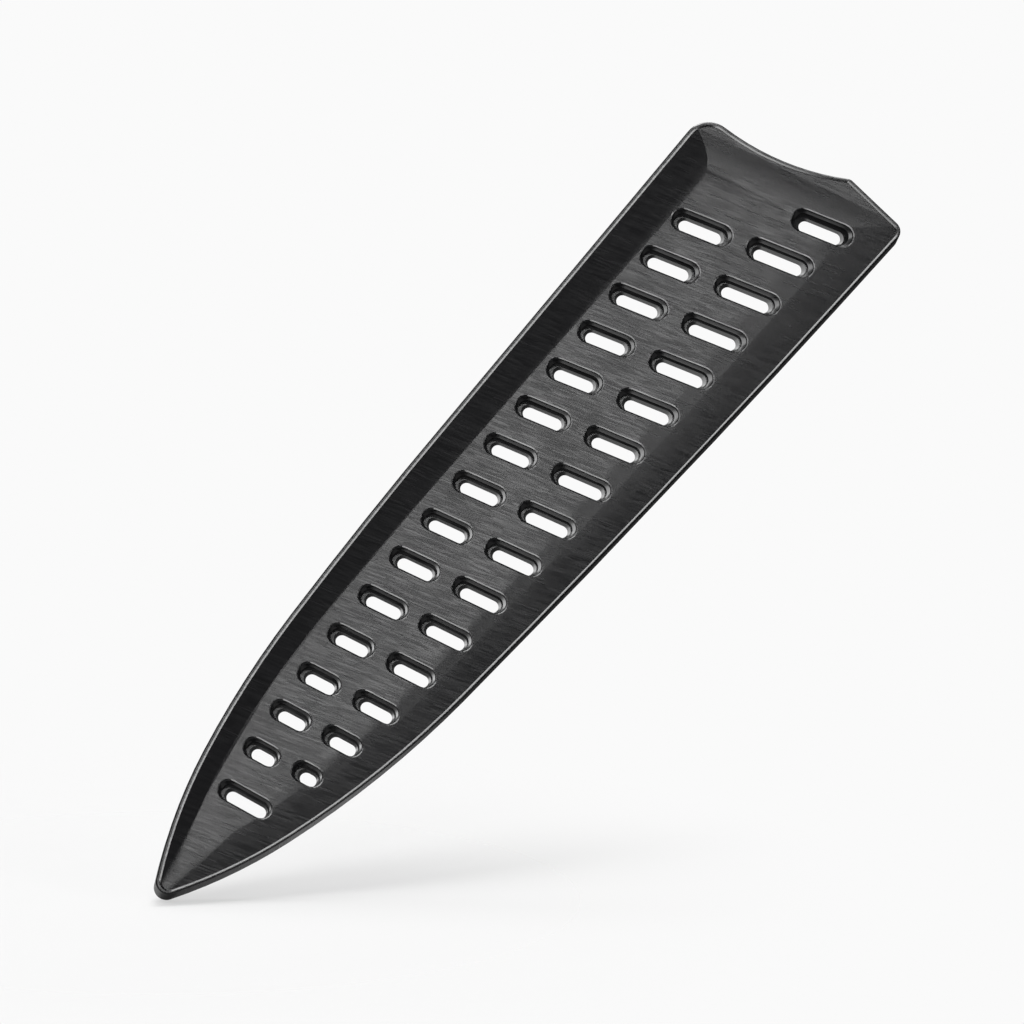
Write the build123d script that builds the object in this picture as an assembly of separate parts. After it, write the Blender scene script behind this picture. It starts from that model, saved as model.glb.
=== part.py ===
"""Knife blade guard for a 250 mm cook's knife: two moulded shells that close round a flat blade pocket.

The blade slides in at the heel. Each shell has a raised rim, a dished face that dips to a flat vented
floor, a ramp that flares the mouth, and a shut-off land round the spine, the tip and the edge side where
the shells are welded, tongue in groove. Tapered vents run through both shells in two columns.

X runs from the tip to the heel, Y from the edge side to the spine side, and Z is square to the blade.
Lengths are in millimetres and angles in degrees.
"""

import os
from math import asin, atan2, cos, degrees, hypot, radians, sin, sqrt

from build123d import *

# Plan of the guard, measured from the tip along the straight part of the spine side
spine_straight_start = 142.9
spine_gentle_radius = 1516.6
spine_gentle_turn = 2.45
spine_nose_radius = 267.1
spine_nose_end_angle = 11.67
edge_datum_x = 258.0
edge_datum_y = -59.66
edge_datum_angle = 2.24
edge_gentle_radius = 3574.0
edge_gentle_turn = 2.7
edge_belly_radius = 272.0
edge_belly_end_angle = 17.34
shoulder_radius = 138.5
tip_radius = 3.19

# Heel end: a scoop that clears the handle, a bump, and a short straight end on the edge side
scoop_start_x = 252.0
bump_x = 261.9
bump_y = -40.4
scoop_depth = 3.4
end_corner_x = 259.4
spine_corner_radius = 7.0
bump_radius = 2.0
edge_corner_radius = 3.0

# Section through one shell, up from the plane where the two shells meet
pocket_spine_half_gap = 1.15
pocket_edge_half_gap = 0.35
wall = 1.5
dish_rise = 0.7
rim_step = 0.25
rim_width_spine = 1.25
rim_width_edge = 0.95
rim_outer_break = 0.35
rim_inner_break = 0.15

# Dished face: how far the floor stands in from each side, and how it swings out towards the tip
floor_inset_spine = 12.0
floor_inset_edge = 21.5
floor_swing_spine = 1.5
floor_swing_edge = 2.6
floor_tip_radius = 7.0
dish_rise_shares = (0.0, 0.06, 0.25, 0.55, 1.0)
dish_spine_shares = (1.0, 0.88, 0.70, 0.41, 0.0)
dish_edge_shares = (1.0, 0.755, 0.50, 0.258, 0.0)

# Ramp that lifts the floor to the rim at the mouth
ramp_start_x = 234.0
ramp_lean = 13.3
ramp_length = 14.5
lead_in_length = 21.0

# Side wall and the tongue and groove in the land
side_wall = 1.75
tongue_inset = 0.55
tongue_width = 0.6
tongue_height = 0.5
tongue_clearance = 0.05
tongue_end_gap = 9.0
tongue_end_clearance = 0.2

# Vents: rows counted from the heel, one column each side of a web, one vent alone at the tip
row_count = 15
vent_lean = 17.2
vent_tip_lean = 9.8
lean_from_row = 5
left_start_x = 226.95
left_pitch = 13.12
left_end_y = -10.85
left_end_drop = 2.5
drop_from_row = 10
right_start_x = 233.6
right_pitch = 13.39
right_datum_y = -18.1
right_column_share = 0.522
close_pitch_share = 0.93
close_from_row = 13
mouth_vent_shift = 3.2
tip_vent_x = 32.7
tip_vent_y = -22.6
vent_width = 5.9
vent_tip_width = 5.3
vent_length = 16.5
vent_far_width = 3.1
vent_end_taper = 2.65
vent_tip_end_taper = 1.9
vent_drift = -0.1
vent_tip_drift = 0.9
vent_end_flats = 10
left_length_shares = (
    1, 0.97, 0.965, 0.935, 0.92, 0.91, 0.88, 0.88, 0.85, 0.83, 0.82, 0.775, 0.715, 0.675, 0.6,
)
right_length_shares = (
    1.1, 1.08, 1.065, 1.045, 1.01, 0.99, 0.98, 0.955, 0.935, 0.89, 0.88, 0.815, 0.76, 0.66, 0.49,
)
tip_length_share = 0.89

# One overrun past a face serves every cut
overrun = 2.0

floor_height = pocket_spine_half_gap + wall
slope_top = floor_height + dish_rise
shell_height = slope_top + rim_step
mouth_half_gap = shell_height - wall


def swung(point, swing):
    """A plan point turned about the heel end of its own side, to let an inset grow less towards the tip."""
    pivot_x, pivot_y, angle = swing
    x, y = point[0] - pivot_x, point[1] - pivot_y
    c, s = cos(radians(angle)), sin(radians(angle))
    return pivot_x + x * c - y * s, pivot_y + x * s + y * c


def on_circle(centre, radius, angle):
    """The point at an angle from straight up, positive towards the tip."""
    return centre[0] - radius * sin(radians(angle)), centre[1] + radius * cos(radians(angle))


def side_centres():
    """Centres of the tangent arcs: gentle, nose and shoulder on the spine side, then gentle, belly and
    shoulder on the edge side."""
    spine_gentle = (spine_straight_start, -spine_gentle_radius)
    spine_nose = on_circle(spine_gentle, spine_gentle_radius - spine_nose_radius, spine_gentle_turn)
    start = (edge_datum_x, edge_datum_y)
    edge_gentle = on_circle(start, edge_gentle_radius, -edge_datum_angle)
    step = edge_belly_radius - edge_gentle_radius
    edge_belly = on_circle(edge_gentle, step, -(edge_datum_angle + edge_gentle_turn))
    spine_shoulder = on_circle(spine_nose, spine_nose_radius - shoulder_radius, spine_nose_end_angle)
    edge_shoulder = on_circle(edge_belly, shoulder_radius - edge_belly_radius, -edge_belly_end_angle)
    return spine_gentle, spine_nose, spine_shoulder, edge_gentle, edge_belly, edge_shoulder


def below(centre, radius, angle):
    """The point at an angle from straight down, positive towards the tip."""
    return on_circle(centre, -radius, -angle)


def edge_line_y(x, inset=0.0):
    """Y of the edge side outline at a station along the guard."""
    gentle, belly = side_centres()[3:5]
    turn_x = below(gentle, edge_gentle_radius, edge_datum_angle + edge_gentle_turn)[0]
    centre, radius = (gentle, edge_gentle_radius) if x > turn_x else (belly, edge_belly_radius)
    return centre[1] - sqrt((radius - inset) ** 2 - (x - centre[0]) ** 2)


def side_face(spine_inset, edge_inset, nose_radius, heel_x, spine_swing=0.0, edge_swing=0.0):
    """Plan region between the two long sides, each set in, closed by a straight line at heel_x."""
    spine_gentle, spine_nose, spine_shoulder, edge_gentle, edge_belly, edge_shoulder = side_centres()
    spine_pivot = (heel_x, -spine_inset, -spine_swing)
    edge_pivot = (heel_x, edge_line_y(heel_x, edge_inset), edge_swing)
    nose_c = swung(spine_nose, spine_pivot)
    upper_c = swung(spine_shoulder, spine_pivot)
    belly_c = swung(edge_belly, edge_pivot)
    lower_c = swung(edge_shoulder, edge_pivot)
    nose_r = spine_nose_radius - spine_inset
    upper_r = shoulder_radius - spine_inset
    belly_r = edge_belly_radius - edge_inset
    lower_r = shoulder_radius - edge_inset

    # The tip arc touches both shoulder arcs from inside
    a, b = upper_r - nose_radius, lower_r - nose_radius
    dx, dy = lower_c[0] - upper_c[0], lower_c[1] - upper_c[1]
    d = hypot(dx, dy)
    along = (a * a - b * b + d * d) / (d + d)
    off = sqrt(a * a - along * along)
    tip_c = min(
        (upper_c[0] + (along * dx - off * dy) / d, upper_c[1] + (along * dy + off * dx) / d),
        (upper_c[0] + (along * dx + off * dy) / d, upper_c[1] + (along * dy - off * dx) / d),
    )

    # Angles at which each arc starts and ends, from straight up or straight down towards the tip
    nose_start = spine_gentle_turn - spine_swing
    upper_start = spine_nose_end_angle - spine_swing
    upper_end = degrees(atan2(upper_c[0] - tip_c[0], tip_c[1] - upper_c[1]))
    lower_end = degrees(atan2(lower_c[0] - tip_c[0], lower_c[1] - tip_c[1]))
    lower_start = edge_belly_end_angle - edge_swing
    belly_start = edge_datum_angle + edge_gentle_turn - edge_swing
    heel_angle = degrees(asin((edge_gentle[0] - heel_x) / (edge_gentle_radius - edge_inset)))
    gentle_mid = (heel_angle + edge_datum_angle + edge_gentle_turn) / 2
    spine_r = spine_gentle_radius - spine_inset
    edge_r = edge_gentle_radius - edge_inset

    heel_spine = (heel_x, -spine_inset)
    straight = swung((spine_straight_start, -spine_inset), spine_pivot)
    spine_mid = swung(on_circle(spine_gentle, spine_r, spine_gentle_turn / 2), spine_pivot)
    nose_a = on_circle(nose_c, nose_r, nose_start)
    nose_b = on_circle(nose_c, nose_r, (nose_start + upper_start) / 2)
    upper_a = on_circle(nose_c, nose_r, upper_start)
    upper_b = on_circle(upper_c, upper_r, (upper_start + upper_end) / 2)
    tip_a = on_circle(upper_c, upper_r, upper_end)
    tip_b = on_circle(tip_c, nose_radius, 90 + (upper_end - lower_end) / 2)
    lower_a = below(lower_c, lower_r, lower_end)
    lower_b = below(lower_c, lower_r, (lower_start + lower_end) / 2)
    belly_a = below(belly_c, belly_r, lower_start)
    belly_b = below(belly_c, belly_r, (belly_start + lower_start) / 2)
    edge_a = below(belly_c, belly_r, belly_start)
    edge_b = swung(below(edge_gentle, edge_r, gentle_mid), edge_pivot)
    heel_edge = (edge_pivot[0], edge_pivot[1])

    edges = [
        Edge.make_line(heel_spine, straight),
        Edge.make_three_point_arc(straight, spine_mid, nose_a),
        Edge.make_three_point_arc(nose_a, nose_b, upper_a),
        Edge.make_three_point_arc(upper_a, upper_b, tip_a),
        Edge.make_three_point_arc(tip_a, tip_b, lower_a),
        Edge.make_three_point_arc(lower_a, lower_b, belly_a),
        Edge.make_three_point_arc(belly_a, belly_b, edge_a),
        Edge.make_three_point_arc(edge_a, edge_b, heel_edge),
        Edge.make_line(heel_edge, heel_spine),
    ]
    return Face(Wire(edges))


def heel_waste(inset=0.0):
    """Plan region past the heel end, which the scoop, the bump and the short end bound."""
    far = bump_x + spine_corner_radius
    start = (scoop_start_x - inset, spine_corner_radius)
    bump = (bump_x - inset, bump_y)
    corner = (end_corner_x - inset, edge_datum_y - spine_corner_radius)
    scoop = Edge.make_line(start, (scoop_start_x - inset, 0))
    arc = SagittaArc((scoop_start_x - inset, 0), bump, -scoop_depth)
    end = Edge.make_line(bump, corner)
    close = [
        Edge.make_line(corner, (far, corner[1])),
        Edge.make_line((far, corner[1]), (far, start[1])),
        Edge.make_line((far, start[1]), start),
    ]
    return Face(Wire([scoop, arc.edge(), end, *close]))


def rounded_prism(spine_inset, edge_inset, height):
    """An upright prism on the guard's plan, set in from its outline, with its three heel corners rounded."""
    plan = side_face(spine_inset, edge_inset, tip_radius - edge_inset, bump_x + overrun)
    prism = extrude(plan - heel_waste(spine_inset), height)
    corners = (
        (scoop_start_x, 0, spine_corner_radius),
        (bump_x, bump_y, bump_radius),
        (end_corner_x, edge_datum_y, edge_corner_radius),
    )
    for x, y, radius in corners:
        upright = prism.edges().filter_by(Axis.Z).sort_by_distance((x, y, height / 2))[0]
        prism = fillet(upright, radius - spine_inset)
    return prism


def blank():
    """The outer prism of one shell, with the outer edge of its rim broken."""
    prism = rounded_prism(0.0, 0.0, shell_height)
    return chamfer(prism.faces().sort_by(Axis.Z)[-1].edges(), rim_outer_break)


def ramp_region():
    """All space over the floor and over the ramp, a section pulled along the mouth."""
    rise = dish_rise + rim_step
    radius = (ramp_length ** 2 + rise ** 2) / (rise + rise)
    turn = degrees(asin(ramp_length / radius))
    reach = scoop_start_x + bump_x
    top = shell_height + overrun
    with BuildSketch(Plane.XZ) as section:
        with BuildLine():
            floor = Line((-reach, floor_height), (0, floor_height))
            arc = TangentArc(floor @ 1, (ramp_length, floor_height + rise), tangent=floor % 1)
            end = Line(arc @ 1, (ramp_length + ramp_length * cos(radians(turn)), top))
            roof = Line(end @ 1, (-reach, top))
            Line(roof @ 1, floor @ 0)
        make_face()
    swath = extrude(section.sketch, reach / 2, both=True)
    return Pos(ramp_start_x, 0, 0) * Rot(0, 0, ramp_lean) * swath


def dish():
    """The space that the dished face leaves empty, from its floor up to the foot of the rim step."""
    levels = []
    heel_x = bump_x + overrun
    rim_nose = tip_radius - rim_width_edge
    for rise, spine, edge in zip(dish_rise_shares, dish_spine_shares, dish_edge_shares):
        spine_inset = rim_width_spine + spine * (floor_inset_spine - rim_width_spine)
        edge_inset = rim_width_edge + edge * (floor_inset_edge - rim_width_edge)
        nose = rim_nose + edge * (floor_tip_radius - rim_nose)
        swings = (spine * floor_swing_spine, edge * floor_swing_edge)
        plan = side_face(spine_inset, edge_inset, nose, heel_x, *swings)
        levels.append(Pos(0, 0, floor_height + rise * dish_rise) * plan)
    within = Pos(0, 0, floor_height) * rounded_prism(rim_width_spine, rim_width_edge, dish_rise)
    return loft(levels, ruled=True) & ramp_region() & within


def rim_recess():
    """Empty space inside the rim, above the foot of its step. It also follows the heel end."""
    return Pos(0, 0, slope_top) * rounded_prism(rim_width_spine, rim_width_edge, rim_step + overrun)


def pocket():
    """Blade space in one shell: a wedge like the blade's section, with a lead-in that flares the mouth."""
    plan = side_face(side_wall, side_wall, tip_radius, bump_x + spine_corner_radius)
    section = Polygon(
        (0, 0),
        (0, pocket_spine_half_gap),
        (edge_datum_y, pocket_edge_half_gap),
        (edge_datum_y, 0),
        align=None,
    )
    wedge = extrude(Plane.YZ * section, bump_x + spine_corner_radius)
    ramp_end = (ramp_length, mouth_half_gap)
    start = (ramp_length - lead_in_length, 0)
    past_end = (ramp_end[0] + lead_in_length, 2 * mouth_half_gap)
    profile = Polygon(start, (past_end[0], 0), past_end, align=None)
    lead_in = extrude(Plane.XZ * profile, bump_x, both=True)
    lead_in = Pos(ramp_start_x, 0, 0) * Rot(0, 0, ramp_lean) * lead_in
    return extrude(plan, shell_height) & (wedge + lead_in)


def land_band(inset, width, height, stop):
    """A band that runs in the land from one side of the heel round the tip to the other."""
    outer = side_face(inset, inset, tip_radius - inset, stop)
    inner = side_face(inset + width, inset + width, tip_radius - inset - width, stop + overrun)
    return extrude(outer - inner, height)


def vent_section(length, width):
    """A vent's section at one height. Flats make its round ends, so that many vents keep few faces."""
    radius = width / 2
    points = []
    for side in (1, -1):
        centre = side * (length / 2 - radius)
        for step in range(vent_end_flats + 1):
            angle = radians(180 * step / vent_end_flats - 90)
            points.append((centre + side * radius * cos(angle), side * radius * sin(angle)))
    return Polygon(*points, align=None)


def vent_core(length, width, end_taper, drift):
    """The leaning, tapered core of one vent, wide at the front floor and narrow at the back floor."""
    depth = floor_height + floor_height
    side_taper = (width - vent_far_width) / 2
    sections = []
    for z in (-floor_height - overrun, floor_height + overrun):
        down = (floor_height - z) / depth
        section = vent_section(length - 2 * end_taper * down, width - 2 * side_taper * down)
        sections.append(Pos(drift * down, 0, z) * section)
    return loft(sections, ruled=True)


def row_x(start, pitch, row):
    """X of a row. The last rows before the tip stand closer."""
    return start - pitch * (row - 1) + pitch * (1 - close_pitch_share) * max(row - close_from_row, 0)


def right_column_y(x):
    """Y of the right column's centre line, which follows the edge side."""
    return right_datum_y + right_column_share * (edge_line_y(x) - right_datum_y)


def vent_places():
    """Place, lean, length, width, end taper and drift of every vent."""
    places = []

    def lean_at(row):
        share = max(row - lean_from_row, 0) / (row_count - lean_from_row)
        return vent_lean + (vent_tip_lean - vent_lean) * share

    def section_at(row):
        share = row / (row_count + 1)
        width = vent_width + (vent_tip_width - vent_width) * share
        taper = vent_end_taper + (vent_tip_end_taper - vent_end_taper) * share
        return width, taper, vent_drift + (vent_tip_drift - vent_drift) * share

    for row in range(1, row_count + 1):
        lean = lean_at(row)
        length = vent_length * left_length_shares[row - 1]
        drop = left_end_drop * (max(row - drop_from_row, 0) / (row_count - drop_from_row)) ** 2
        y = left_end_y - drop - length / 2 * cos(radians(lean))
        places.append((row_x(left_start_x, left_pitch, row), y, lean, length, *section_at(row)))
        length = vent_length * right_length_shares[row - 1]
        x = row_x(right_start_x, right_pitch, row)
        places.append((x, right_column_y(x), lean, length, *section_at(row)))
    x = row_x(right_start_x, right_pitch, 0)
    places.append((x, right_column_y(x) - mouth_vent_shift, lean_at(0), vent_length, *section_at(0)))
    length = vent_length * tip_length_share
    places.append((tip_vent_x, tip_vent_y, vent_tip_lean, length, *section_at(row_count + 1)))
    return places


def vents():
    """All the vent cores."""
    cores = []
    for x, y, lean, *sizes in vent_places():
        cores.append(Pos(x, y, 0) * Rot(0, 0, lean - 90) * vent_core(*sizes))
    return cores


def shell():
    """One plain shell: blank, rim step, dished face and blade pocket."""
    body = blank() - rim_recess()
    crest = body.faces().sort_by(Axis.Z)[-1]
    body = chamfer(crest.inner_wires()[0].edges(), rim_inner_break)
    return body - dish() - pocket()


def front_shell(plain):
    """The shell with the groove."""
    inset = tongue_inset - tongue_clearance
    width = tongue_width + 2 * tongue_clearance
    stop = scoop_start_x - tongue_end_gap + tongue_end_clearance
    groove = land_band(inset, width, tongue_height + tongue_clearance, stop)
    return plain - groove - vents()


def back_shell(plain):
    """The mirrored shell with the tongue that seats in the groove."""
    tongue = land_band(tongue_inset, tongue_width, tongue_height, scoop_start_x - tongue_end_gap)
    return mirror(plain, Plane.XY) - vents() + tongue


def main():
    """Builds both shells, stands them on the back rim about the centre of their plan, and writes them."""
    os.makedirs("parts", exist_ok=True)
    plain = shell()
    box = plain.bounding_box()
    place = Pos(-box.center().X, -box.center().Y, shell_height)
    export_step(place * front_shell(plain), "parts/front_shell.step")
    export_step(place * back_shell(plain), "parts/back_shell.step")


main()
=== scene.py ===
"""Looks of a black plastic knife blade guard, shown as it stands on its tip in a white photo studio."""
import math

import bmesh
import bpy
from mathutils import Matrix, Vector


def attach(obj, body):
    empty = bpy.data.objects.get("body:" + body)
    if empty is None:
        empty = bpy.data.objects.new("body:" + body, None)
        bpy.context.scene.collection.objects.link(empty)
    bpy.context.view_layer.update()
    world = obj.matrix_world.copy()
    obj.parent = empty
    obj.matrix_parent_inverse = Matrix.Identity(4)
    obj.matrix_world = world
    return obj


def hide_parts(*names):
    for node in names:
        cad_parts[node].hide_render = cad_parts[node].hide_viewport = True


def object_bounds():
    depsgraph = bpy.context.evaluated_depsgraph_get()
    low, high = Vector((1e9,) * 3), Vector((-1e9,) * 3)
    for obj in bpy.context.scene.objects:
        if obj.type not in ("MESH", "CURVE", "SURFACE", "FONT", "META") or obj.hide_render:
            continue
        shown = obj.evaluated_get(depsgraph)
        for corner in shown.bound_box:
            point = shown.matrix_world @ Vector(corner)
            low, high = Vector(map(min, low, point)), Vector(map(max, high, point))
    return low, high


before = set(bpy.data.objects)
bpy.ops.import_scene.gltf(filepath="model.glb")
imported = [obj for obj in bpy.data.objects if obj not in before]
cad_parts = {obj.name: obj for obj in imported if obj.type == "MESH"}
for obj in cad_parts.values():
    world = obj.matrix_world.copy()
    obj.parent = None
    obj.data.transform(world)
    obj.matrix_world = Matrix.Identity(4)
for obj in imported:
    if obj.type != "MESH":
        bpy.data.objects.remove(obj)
cad_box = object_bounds()

MM = 0.001
GUARD_CENTRE = (cad_box[0] + cad_box[1]) / 2

# Viewpoint: the camera leans off the guard's face, across the vents, and rolls so that the tip is down.
# It aims a little off the guard's centre and sees as far as its reach.
CAMERA_LEAN = math.radians(16.0)
VENTS_FROM_SPINE = math.radians(72.7)
CAMERA_ROLL = math.radians(21.83)
CAMERA_DISTANCE = 3.2
CAMERA_REACH = 4 * CAMERA_DISTANCE
CAMERA_LENS = 438.75
SENSOR_WIDTH = 36.0
AIM_FROM_CENTRE = Vector((5.47, 1.97, 0.0)) * MM

# Directions in the guard's own axes, from which the studio is set up
ACROSS_GUARD = Vector((0.0, 1.0, 0.0))
FACE_OUT = Vector((0.0, 0.0, 1.0))
ALONG_VENTS = Vector((math.cos(VENTS_FROM_SPINE), -math.sin(VENTS_FROM_SPINE), 0.0))
ACROSS_VENTS = Vector((math.sin(VENTS_FROM_SPINE), math.cos(VENTS_FROM_SPINE), 0.0))
TO_CAMERA = math.cos(CAMERA_LEAN) * FACE_OUT - math.sin(CAMERA_LEAN) * ACROSS_VENTS
UP_THE_FACE = math.cos(CAMERA_LEAN) * ACROSS_VENTS + math.sin(CAMERA_LEAN) * FACE_OUT
PICTURE_RIGHT = math.cos(CAMERA_ROLL) * ALONG_VENTS + math.sin(CAMERA_ROLL) * UP_THE_FACE
PICTURE_UP = -math.sin(CAMERA_ROLL) * ALONG_VENTS + math.cos(CAMERA_ROLL) * UP_THE_FACE
MIRROR_OF_CAMERA = math.cos(CAMERA_LEAN) * FACE_OUT + math.sin(CAMERA_LEAN) * ACROSS_VENTS

# Paper under the tip, which the camera looks down on a little
CAMERA_OVER_PAPER = math.radians(11.0)
PAPER_UP = math.cos(CAMERA_OVER_PAPER) * PICTURE_UP + math.sin(CAMERA_OVER_PAPER) * TO_CAMERA
PAPER_GAP = 0.1 * MM

# Slight rounds that moulding leaves at the mouths of the vents and on the inside of each rim
MOUTH_ROUND = 0.38 * MM
MOUTH_ROUND_STEPS = 2
RIM_ROUND = 0.30 * MM
RIM_ROUND_STEPS = 1

# What tells those edges from others: their height off the guard's middle plane, and how far they turn
FACE_HEIGHT = 2.5 * MM
MOUTH_TURN = math.radians(50)
RIM_HEIGHT = 3.5 * MM
RIM_TURN_LEAST = math.radians(30)
RIM_TURN_MOST = math.radians(60)

# How far an edge turns before it shows as an edge: little between two faces that both look out, whose
# normals point straight out by this share or more, and more anywhere else
LOOKS_OUT = 0.9
FACE_BREAK_TURN = math.radians(3.2)
SHARP_TURN = math.radians(24)

# Points nearer than this are merged, and triangles that turn less than this are one flat face
MERGE_DISTANCE = 0.001 * MM
FLAT_TURN = math.radians(0.4)

# Colours
BACKDROP_WHITE = "#fafafa"
PAPER_SHADE = "#737373"
PLASTIC_BLACK = "#09090a"
PLASTIC_WORN = "#0f0f10"

# Brushed grain along the vents. The real lines are about 0.05 mm wide, too fine to show in the render,
# so they are drawn as wide as they need to be to show. The relief is how strongly their height shades
# them, and the stretch is how far they spread a highlight across them.
GRAIN_LINE = 0.22 * MM
GRAIN_LENGTH = 4.5 * MM
GRAIN_HEIGHT = 0.0025 * MM
GRAIN_RELIEF = 0.5
GRAIN_DETAIL = 2.0
GRAIN_RAGGEDNESS = 0.6
GRAIN_STRETCH = 0.6

# Satin gloss: the grain lines and soft clouds about a fingertip wide add up to a mottle, which sets the
# roughness between two values
CLOUD_WIDTH = 11.11 * MM
CLOUD_DETAIL = 2.0
CLOUD_SHARE = 0.5
MOTTLE_LOW = 0.35
MOTTLE_HIGH = 1.15
ROUGH_LOW = 0.185
ROUGH_HIGH = 0.275
ABS_IOR = 1.5

# Colour sockets of a Mix node, by number, because its sockets of other kinds have the same names
MIX_FIRST = 6
MIX_SECOND = 7
MIX_RESULT = 2

# Studio: a white sweep round the back of the guard, brighter on the spine side, and a dim room on the
# camera's side. A dark card straight behind keeps the guard's outer edges dark against the white. The
# starts and ends say how far a direction leans that way, where 1 is straight that way.
ROOM_LIGHT = 0.04
SWEEP_LIGHT = 0.25
SWEEP_BRIGHT = 3.2
SWEEP_DIM = 0.15
SWEEP_START = 0.1
SWEEP_END = 0.4
SPINE_SIDE_START = -0.5
SPINE_SIDE_END = 0.6
CARD_START = 0.80
CARD_END = 0.90

# Paper: part of its white is a glow and the rest is light on a grey, so that its shadow stays pale. The
# distances are from the foot, where it starts to fade out and where it ends.
PAPER_GLOW = 0.566
PAPER_FADE_START = 50 * MM
PAPER_FADE_END = 190 * MM

# Where two lamps stand: the key a touch towards the tip, and the top light a little behind the guard
KEY_SHIFT = Vector((-0.004, 0.0, 0.0))
TOP_BEHIND = 0.34


def linear(hex_colour):
    """An sRGB hex colour as linear RGBA."""
    channels = [int(hex_colour[i:i + 2], 16) / 255 for i in (1, 3, 5)]
    return [c / 12.92 if c <= 0.04045 else ((c + 0.055) / 1.055) ** 2.4 for c in channels] + [1.0]


def node(tree, kind, settings=None, links=None, **values):
    """Adds a node to a tree, with its settings, its input values and its links, and returns it."""
    made = tree.nodes.new(kind)
    for name, value in (settings or {}).items():
        setattr(made, name, value)
    for name, value in values.items():
        made.inputs[name.replace("_", " ")].default_value = value
    for name, source in (links or {}).items():
        tree.links.new(source, made.inputs[name])
    return made


def new_material(name):
    """An empty node material."""
    material = bpy.data.materials.new(name)
    material.use_nodes = True
    material.node_tree.nodes.clear()
    return material


def satin_abs():
    """ABS, moulded in a tool with a brushed face. To the eye it is black and satin, with fine lines along
    the vents that stretch its highlights across them, and some lines are a little paler and duller."""
    material = new_material("satin_black_abs")
    tree = material.node_tree
    place = node(tree, "ShaderNodeTexCoord").outputs["Object"]
    along_grain = node(
        tree,
        "ShaderNodeMapping",
        settings={"vector_type": "TEXTURE"},
        links={"Vector": place},
        Rotation=(0.0, 0.0, -VENTS_FROM_SPINE),
        Scale=(GRAIN_LENGTH, GRAIN_LINE, GRAIN_LENGTH),
    ).outputs["Vector"]
    relief = node(
        tree,
        "ShaderNodeTexNoise",
        links={"Vector": along_grain},
        Scale=1.0,
        Detail=GRAIN_DETAIL,
        Roughness=GRAIN_RAGGEDNESS,
    )
    lines = node(tree, "ShaderNodeTexVoronoi", links={"Vector": along_grain}, Scale=1.0)
    clouds = node(
        tree,
        "ShaderNodeTexNoise",
        links={"Vector": place},
        Scale=1.0 / CLOUD_WIDTH,
        Detail=CLOUD_DETAIL,
    )
    bump = node(
        tree,
        "ShaderNodeBump",
        links={"Height": relief.outputs["Fac"]},
        Strength=GRAIN_RELIEF,
        Distance=GRAIN_HEIGHT,
    )
    colour = node(
        tree,
        "ShaderNodeMix",
        settings={"data_type": "RGBA"},
        links={0: lines.outputs["Color"]},
    )
    colour.inputs[MIX_FIRST].default_value = linear(PLASTIC_BLACK)
    colour.inputs[MIX_SECOND].default_value = linear(PLASTIC_WORN)
    mottle = node(
        tree,
        "ShaderNodeMath",
        settings={"operation": "MULTIPLY_ADD"},
        links={0: clouds.outputs["Fac"], 2: lines.outputs["Color"]},
    )
    mottle.inputs[1].default_value = CLOUD_SHARE
    rough = node(
        tree,
        "ShaderNodeMapRange",
        links={"Value": mottle.outputs["Value"]},
        From_Min=MOTTLE_LOW,
        From_Max=MOTTLE_HIGH,
        To_Min=ROUGH_LOW,
        To_Max=ROUGH_HIGH,
    )
    across = node(
        tree,
        "ShaderNodeCombineXYZ",
        X=ACROSS_VENTS.x,
        Y=ACROSS_VENTS.y,
        Z=ACROSS_VENTS.z,
    )
    shader = node(
        tree,
        "ShaderNodeBsdfPrincipled",
        links={
            "Base Color": colour.outputs[MIX_RESULT],
            "Roughness": rough.outputs["Result"],
            "Normal": bump.outputs["Normal"],
            "Tangent": across.outputs["Vector"],
        },
        IOR=ABS_IOR,
        Anisotropic=GRAIN_STRETCH,
    )
    node(tree, "ShaderNodeOutputMaterial", links={"Surface": shader.outputs["BSDF"]})
    return material


def off_centre(edge):
    """The middle of an edge, from the guard's centre."""
    return (edge.verts[0].co + edge.verts[1].co) / 2 - GUARD_CENTRE


def is_mouth(edge):
    """Whether an edge is one where a vent opens in a face."""
    return abs(off_centre(edge).z) > FACE_HEIGHT and edge.calc_face_angle_signed(0.0) > MOUTH_TURN


def is_rim_inside(edge):
    """Whether an edge is the one where a rim's flat top turns down to the dished face."""
    middle = off_centre(edge)
    if abs(middle.z) < RIM_HEIGHT or not edge.is_manifold:
        return False
    turned = edge.link_faces[0].normal + edge.link_faces[1].normal
    inward = turned.x * middle.x + turned.y * middle.y < 0
    return inward and RIM_TURN_LEAST < edge.calc_face_angle_signed(0.0) < RIM_TURN_MOST


def round_edges(shape, chosen, offset, steps):
    """Rounds the edges that a test chooses, and returns the faces of the rounds."""
    made = bmesh.ops.bevel(
        shape,
        geom=[edge for edge in shape.edges if chosen(edge)],
        offset=offset,
        offset_type="OFFSET",
        segments=steps,
        profile=0.5,
        affect="EDGES",
        material=-1,
    )
    return made["faces"]


def stays_smooth(edge, rounds):
    """Whether light runs over an edge without a break. It breaks where a round ends."""
    if len(rounds.intersection(edge.link_faces)) == 1:
        return False
    in_face = all(abs(face.normal.z) > LOOKS_OUT for face in edge.link_faces)
    return edge.calc_face_angle(0.0) < (FACE_BREAK_TURN if in_face else SHARP_TURN)


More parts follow.
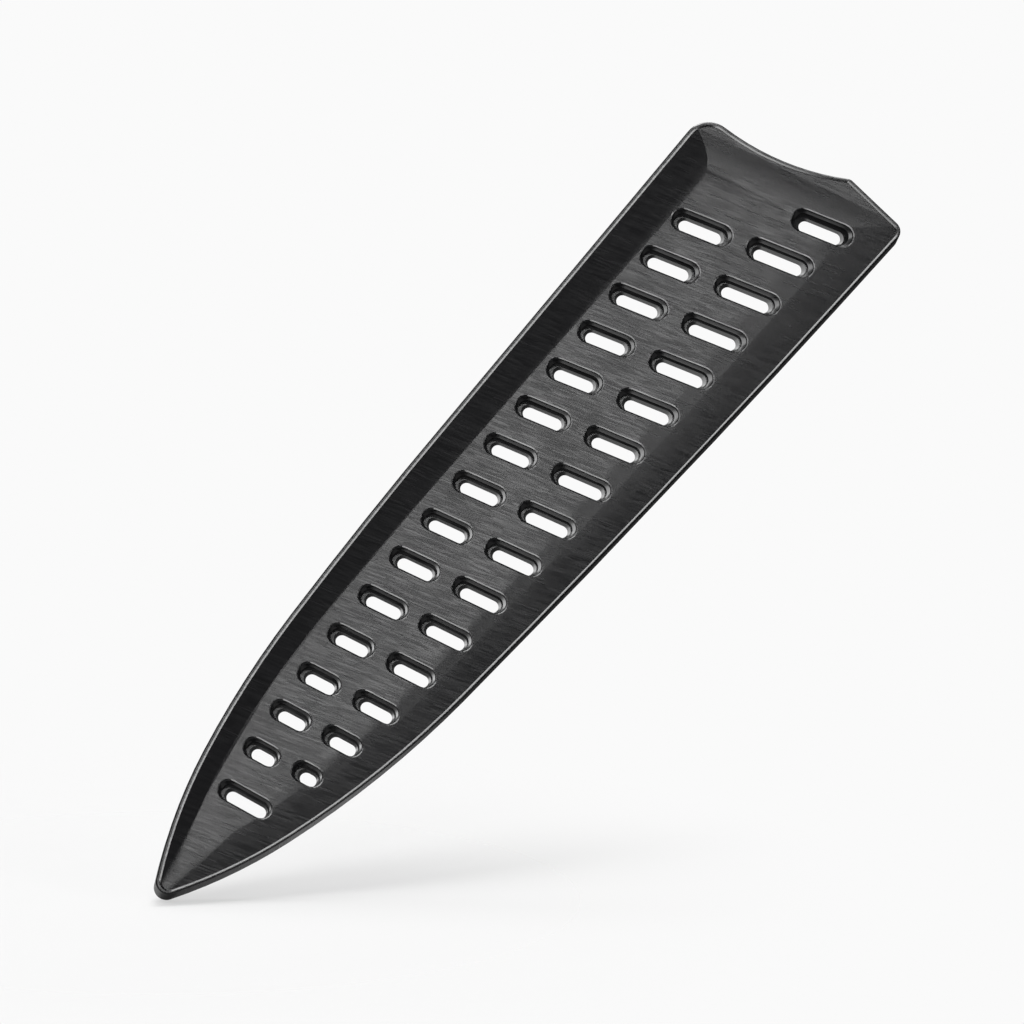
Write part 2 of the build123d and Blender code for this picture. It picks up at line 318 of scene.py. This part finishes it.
def moulded_copy(name, node_name):
    """A merged copy of a shell, with the slight rounds that moulding leaves on its edges. They are kept
    inside the height of the CAD model."""
    mesh = bpy.data.meshes.new(name)
    shape = bmesh.new()
    shape.from_mesh(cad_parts[node_name].data)
    bmesh.ops.remove_doubles(shape, verts=shape.verts, dist=MERGE_DISTANCE)
    bmesh.ops.dissolve_limit(shape, angle_limit=FLAT_TURN, verts=shape.verts, edges=shape.edges)
    rounds = round_edges(shape, is_rim_inside, RIM_ROUND, RIM_ROUND_STEPS)
    rounds += round_edges(shape, is_mouth, MOUTH_ROUND, MOUTH_ROUND_STEPS)
    rounds = {face for face in rounds if face.is_valid}
    for vertex in shape.verts:
        vertex.co.z = min(max(vertex.co.z, cad_box[0].z), cad_box[1].z)
    for face in shape.faces:
        face.smooth = True
    for edge in shape.edges:
        edge.smooth = stays_smooth(edge, rounds)
    shape.to_mesh(mesh)
    shape.free()
    piece = bpy.data.objects.new(name, mesh)
    bpy.context.collection.objects.link(piece)
    flatten = piece.modifiers.new("flat_faces_stay_flat", "WEIGHTED_NORMAL")
    flatten.mode = "FACE_AREA"
    flatten.keep_sharp = True
    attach(piece, "root")
    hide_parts(node_name)
    return piece


def direct_rays(tree):
    """1 for a ray that shows the backdrop itself, from the camera or through glass."""
    path = node(tree, "ShaderNodeLightPath")
    return node(
        tree,
        "ShaderNodeMath",
        settings={"operation": "MAXIMUM"},
        links={0: path.outputs["Is Camera Ray"], 1: path.outputs["Is Transmission Ray"]},
    ).outputs["Value"]


def ramp_along(tree, direction, axis, start, end):
    """0 where a direction leans less than start along an axis, 1 where it leans more than end."""
    lean = node(
        tree,
        "ShaderNodeVectorMath",
        settings={"operation": "DOT_PRODUCT"},
        links={0: direction},
    )
    lean.inputs[1].default_value = axis
    return node(
        tree,
        "ShaderNodeMapRange",
        settings={"interpolation_type": "SMOOTHSTEP"},
        links={"Value": lean.outputs["Value"]},
        From_Min=start,
        From_Max=end,
    ).outputs["Result"]


def build_world():
    """White wherever the camera looks. Gloss mirrors the bright sweep, the card and the dim room, and
    matt surfaces get a plain level from the sweep."""
    world = bpy.data.worlds.new("studio")
    bpy.context.scene.world = world
    world.use_nodes = True
    tree = world.node_tree
    tree.nodes.clear()
    direction = node(tree, "ShaderNodeTexCoord").outputs["Generated"]
    sweep_seen = ramp_along(tree, direction, -FACE_OUT, SWEEP_START, SWEEP_END)
    card_seen = ramp_along(tree, direction, -TO_CAMERA, CARD_START, CARD_END)
    spine_side = ramp_along(tree, direction, -ALONG_VENTS, SPINE_SIDE_START, SPINE_SIDE_END)
    sweep_past_card = node(
        tree,
        "ShaderNodeMapRange",
        links={"Value": card_seen, "To Min": sweep_seen},
        To_Max=0.0,
    ).outputs["Result"]
    sweep_level = node(
        tree,
        "ShaderNodeMapRange",
        links={"Value": spine_side},
        To_Min=SWEEP_DIM,
        To_Max=SWEEP_BRIGHT,
    ).outputs["Result"]
    mirrored = node(
        tree,
        "ShaderNodeMapRange",
        links={"Value": sweep_past_card, "To Max": sweep_level},
        To_Min=ROOM_LIGHT,
    ).outputs["Result"]
    matt = node(
        tree,
        "ShaderNodeMapRange",
        links={"Value": sweep_past_card},
        To_Min=ROOM_LIGHT,
        To_Max=SWEEP_LIGHT,
    ).outputs["Result"]
    glossy = node(tree, "ShaderNodeLightPath").outputs["Is Glossy Ray"]
    lit = node(
        tree,
        "ShaderNodeMapRange",
        links={"Value": glossy, "To Min": matt, "To Max": mirrored},
    ).outputs["Result"]
    strength = node(
        tree,
        "ShaderNodeMapRange",
        links={"Value": direct_rays(tree), "To Min": lit},
        To_Max=1.0,
    ).outputs["Result"]
    light = node(
        tree,
        "ShaderNodeBackground",
        links={"Strength": strength},
        Color=linear(BACKDROP_WHITE),
    )
    node(tree, "ShaderNodeOutputWorld", links={"Surface": light.outputs["Background"]})


def sweep_paper(foot):
    """Matt white sweep paper. To the eye it is plain white with the guard's soft shadow on it. It fades
    out round the foot and has no underside, so that it hides nothing in other views."""
    material = new_material("white_sweep_paper")
    tree = material.node_tree
    level = node(
        tree,
        "ShaderNodeMath",
        settings={"operation": "MULTIPLY"},
        links={0: direct_rays(tree)},
    )
    level.inputs[1].default_value = PAPER_GLOW
    glow = node(
        tree,
        "ShaderNodeEmission",
        links={"Strength": level.outputs["Value"]},
        Color=linear(BACKDROP_WHITE),
    )
    matt = node(tree, "ShaderNodeBsdfDiffuse", Color=linear(PAPER_SHADE))
    paper = node(
        tree,
        "ShaderNodeAddShader",
        links={0: glow.outputs["Emission"], 1: matt.outputs["BSDF"]},
    )
    place = node(tree, "ShaderNodeTexCoord").outputs["Object"]
    from_foot = node(
        tree,
        "ShaderNodeVectorMath",
        settings={"operation": "DISTANCE"},
        links={0: place},
    )
    from_foot.inputs[1].default_value = foot
    faded = node(
        tree,
        "ShaderNodeMapRange",
        settings={"interpolation_type": "SMOOTHSTEP"},
        links={"Value": from_foot.outputs["Value"]},
        From_Min=PAPER_FADE_START,
        From_Max=PAPER_FADE_END,
    )
    under = node(tree, "ShaderNodeNewGeometry").outputs["Backfacing"]
    absent = node(
        tree,
        "ShaderNodeMath",
        settings={"operation": "MAXIMUM"},
        links={0: faded.outputs["Result"], 1: under},
    )
    clear = node(tree, "ShaderNodeBsdfTransparent")
    sheet = node(
        tree,
        "ShaderNodeMixShader",
        links={0: absent.outputs["Value"], 1: paper.outputs["Shader"], 2: clear.outputs["BSDF"]},
    )
    node(tree, "ShaderNodeOutputMaterial", links={"Surface": sheet.outputs["Shader"]})
    return material


def aimed(direction, up):
    """Rotation whose local Z points along a direction, with local Y as near to up as it can be."""
    back = direction.normalized()
    right = up.cross(back).normalized()
    return Matrix((right, back.cross(right), back)).transposed()


def build_floor(pieces):
    """The paper, laid just under the guard's lowest point."""
    points = [vertex.co for piece in pieces for vertex in piece.data.vertices]
    foot = min(points, key=lambda point: point.dot(PAPER_UP)) - PAPER_GAP * PAPER_UP
    mesh = bpy.data.meshes.new("studio_floor")
    shape = bmesh.new()
    place = Matrix.Translation(foot) @ aimed(PAPER_UP, PICTURE_UP).to_4x4()
    bmesh.ops.create_grid(shape, x_segments=1, y_segments=1, size=PAPER_FADE_END, matrix=place)
    shape.to_mesh(mesh)
    shape.free()
    mesh.materials.append(sweep_paper(foot))
    floor = bpy.data.objects.new("studio_floor", mesh)
    bpy.context.collection.objects.link(floor)


def softbox(name, direction, up, distance, size, power):
    """A rectangular lamp that faces the guard from a direction. Its size is across and along up."""
    data = bpy.data.lights.new(name, "AREA")
    data.shape = "RECTANGLE"
    data.size, data.size_y = size
    data.energy = power
    lamp = bpy.data.objects.new(name, data)
    bpy.context.collection.objects.link(lamp)
    place = GUARD_CENTRE + distance * direction.normalized()
    lamp.matrix_world = Matrix.Translation(place) @ aimed(direction, up).to_4x4()


def build_lamps():
    """The key light that the floor of the dish mirrors, a panel for each set of rounded edges, which
    mirror it to the camera as thin lines, and a top light for the shadow."""
    softbox(
        "key",
        direction=MIRROR_OF_CAMERA + KEY_SHIFT,
        up=ACROSS_GUARD,
        distance=12.0,
        size=(1.12, 0.92),
        power=42.0,
    )
    softbox(
        "mouths",
        direction=Vector((-0.19, 0.22, 0.95)),
        up=Vector((0.375, 0.65, -0.146)),
        distance=4.0,
        size=(1.0, 4.2),
        power=155.0,
    )
    softbox(
        "edge_rim",
        direction=Vector((0.27, 0.78, 0.56)),
        up=FACE_OUT,
        distance=1.5,
        size=(1.1, 0.48),
        power=18.0,
    )
    softbox(
        "spine_rim",
        direction=Vector((0.26, -0.62, 0.74)),
        up=FACE_OUT,
        distance=1.5,
        size=(1.1, 0.24),
        power=11.0,
    )
    softbox(
        "mouth_rim",
        direction=Vector((-0.49, 0.08, 0.87)),
        up=ACROSS_GUARD,
        distance=4.0,
        size=(0.7, 1.4),
        power=25.0,
    )
    softbox(
        "top",
        direction=PAPER_UP - TOP_BEHIND * TO_CAMERA,
        up=TO_CAMERA,
        distance=1.4,
        size=(0.9, 0.9),
        power=32.0,
    )


def build_camera():
    """The photograph's camera."""
    data = bpy.data.cameras.new("camera")
    data.lens = CAMERA_LENS
    data.sensor_width = SENSOR_WIDTH
    data.clip_end = CAMERA_REACH
    camera = bpy.data.objects.new("camera", data)
    bpy.context.collection.objects.link(camera)
    turn = Matrix((PICTURE_RIGHT, PICTURE_UP, TO_CAMERA)).transposed().to_4x4()
    place = GUARD_CENTRE + AIM_FROM_CENTRE + CAMERA_DISTANCE * TO_CAMERA
    camera.matrix_world = Matrix.Translation(place) @ turn
    bpy.context.scene.camera = camera


plastic = satin_abs()
shells = [
    moulded_copy("front_shell_moulding", "front_shell"),
    moulded_copy("back_shell_moulding", "back_shell"),
]
for shell in (*shells, *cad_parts.values()):
    shell.data.materials.clear()
    shell.data.materials.append(plastic)
build_world()
build_floor(shells)
build_lamps()
build_camera()
bpy.context.scene.view_settings.view_transform = "Standard"
